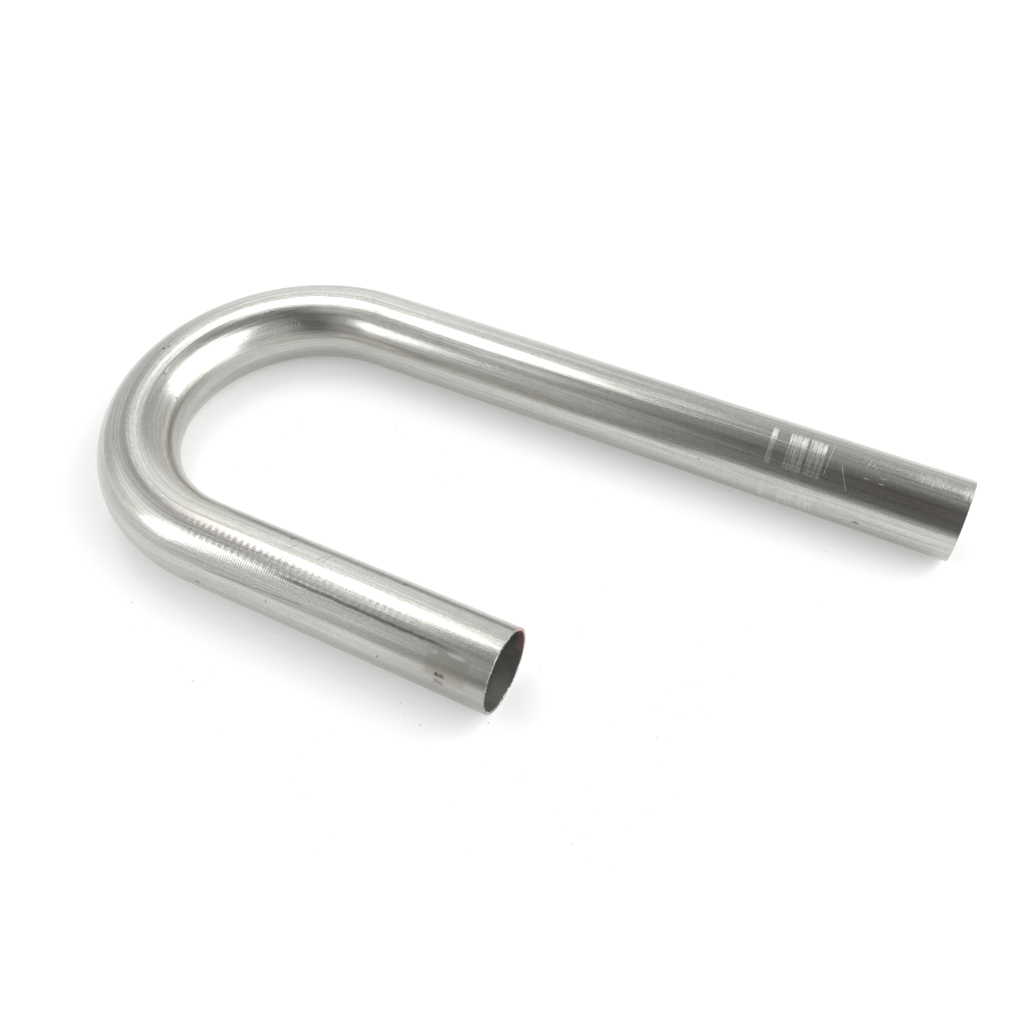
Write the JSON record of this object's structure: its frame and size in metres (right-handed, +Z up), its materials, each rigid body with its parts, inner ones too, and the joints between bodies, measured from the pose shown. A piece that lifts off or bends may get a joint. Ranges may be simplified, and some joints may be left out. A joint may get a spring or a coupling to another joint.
{
  "type": "j-bend exhaust tube",
  "caption": "Bare steel exhaust tube bent through a half turn into a J, with a short and a long straight leg and plain sawn open ends.",
  "frame": {"origin": "on the floor under the middle of the length and width that the tube covers", "axes": "+X along both straight legs towards their open ends, +Y from the short leg to the long leg, +Z up from the floor, square to the plane of the bend"},
  "size_m": [0.3975, 0.195, 0.0381],
  "materials": {
    "bare_steel": "drawn satin steel with lengthwise draw lines and light handling marks"
  },
  "bodies": {
    "root": {"bent_tube": "bare_steel"}
  },
  "joints": []
}
